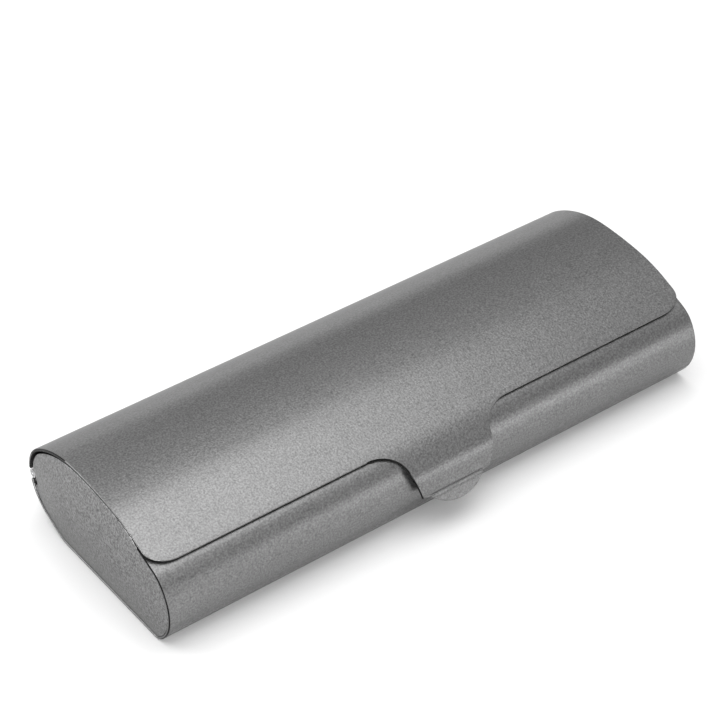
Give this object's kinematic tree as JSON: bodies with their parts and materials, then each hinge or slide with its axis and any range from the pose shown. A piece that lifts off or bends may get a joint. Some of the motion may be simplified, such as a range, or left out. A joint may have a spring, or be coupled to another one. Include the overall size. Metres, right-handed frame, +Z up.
{
  "type": "eyeglasses case",
  "caption": "Slim hinged eyeglasses case in satin grey aluminium sheet with flat end caps, black flocked lining, a full-length rear hinge and a front snap tongue with a rounded finger tab.",
  "frame": {"origin": "centre of the flat underside, on the surface the case stands on", "axes": "+X along the length of the case and its hinge, -Y towards the snap tongue, +Y towards the hinge, +Z up"},
  "size_m": [0.16, 0.0646, 0.0292],
  "materials": {
    "sheet": "satin, fine speckled grain",
    "hinge_steel": "bright drawn",
    "flock": "matt black flock"
  },
  "bodies": {
    "case_body": {"body_shell": "sheet", "end_cap_left": "sheet", "end_cap_right": "sheet", "body_hinge_leaf": "hinge_steel", "hinge_pin": "hinge_steel", "body_rivets": "hinge_steel", "floor_lining": "flock", "front_lining": "flock", "back_lining": "flock", "left_end_lining": "flock", "right_end_lining": "flock"},
    "lid": {"lid_shell": "sheet", "lid_hinge_leaf": "hinge_steel", "lid_rivets": "hinge_steel", "lid_lining": "flock", "tongue_lining": "flock"}
  },
  "joints": [
    {"name": "lid_hinge", "type": "hinge", "parent": "case_body", "child": "lid", "pos_m": [0, 0.03285, 0.0126], "axis": [-1, 0, 0], "range_deg": [0, 126]}
  ]
}
